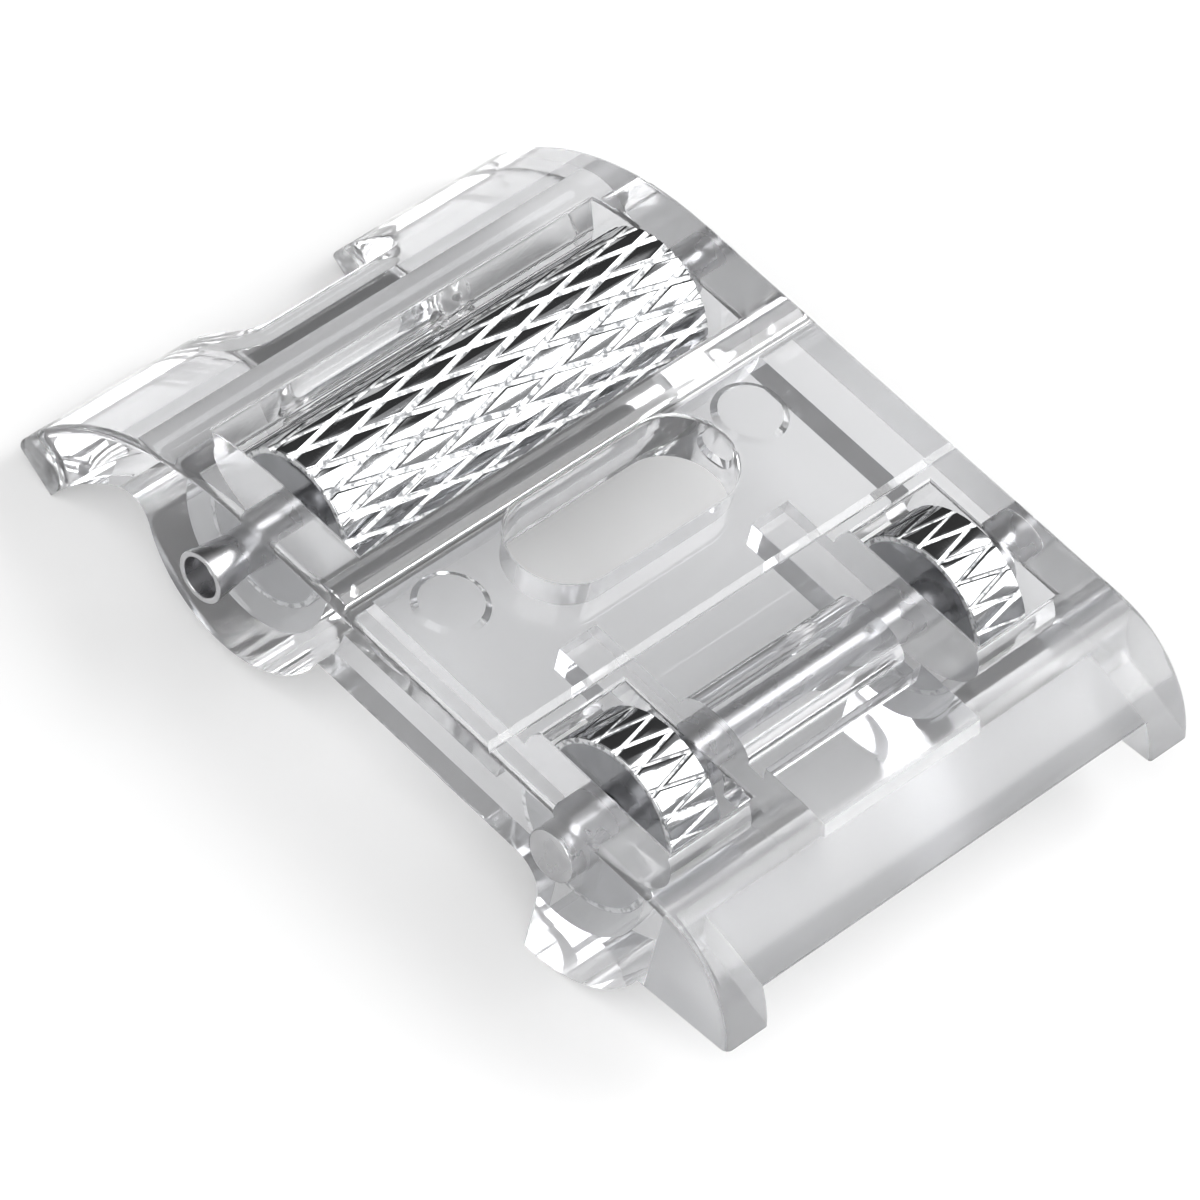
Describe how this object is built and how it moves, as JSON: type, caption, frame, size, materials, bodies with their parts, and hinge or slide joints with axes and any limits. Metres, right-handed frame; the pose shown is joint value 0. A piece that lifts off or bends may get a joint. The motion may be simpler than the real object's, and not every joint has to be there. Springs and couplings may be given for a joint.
{
  "type": "roller presser foot",
  "caption": "Clear clip-on presser foot for a sewing machine, sole up: moulded plate with needle slot and notched lip, knurled metal rollers on steel pins, rear pin doubling as snap bar.",
  "frame": {"origin": "centre of the snap bar, midway between the lugs", "axes": "+X along the axles, +Y towards the front lip, +Z out of the sole, so the foot lies sole up"},
  "size_m": [0.0261, 0.0373, 0.0087],
  "materials": {
    "clear_plastic": "clear, polished",
    "steel_pin": "turned, plain",
    "knurled_chrome": "bright plated diamond knurl"
  },
  "bodies": {
    "foot": {"foot_body": "clear_plastic", "front_axle": "steel_pin", "rear_axle": "steel_pin"},
    "front_roller": {"front_roller": "knurled_chrome"},
    "rear_roller_left": {"rear_roller_left": "knurled_chrome"},
    "rear_roller_right": {"rear_roller_right": "knurled_chrome"}
  },
  "joints": [
    {"name": "front_roller_spin", "type": "hinge", "parent": "foot", "child": "front_roller", "pos_m": [0, 0.0167, 0.0003], "axis": [1, 0, 0], "continuous": true},
    {"name": "rear_roller_left_spin", "type": "hinge", "parent": "foot", "child": "rear_roller_left", "pos_m": [-0.00788, 0, 0], "axis": [1, 0, 0], "continuous": true},
    {"name": "rear_roller_right_spin", "type": "hinge", "parent": "foot", "child": "rear_roller_right", "pos_m": [0.00788, 0, 0], "axis": [1, 0, 0], "continuous": true}
  ]
}
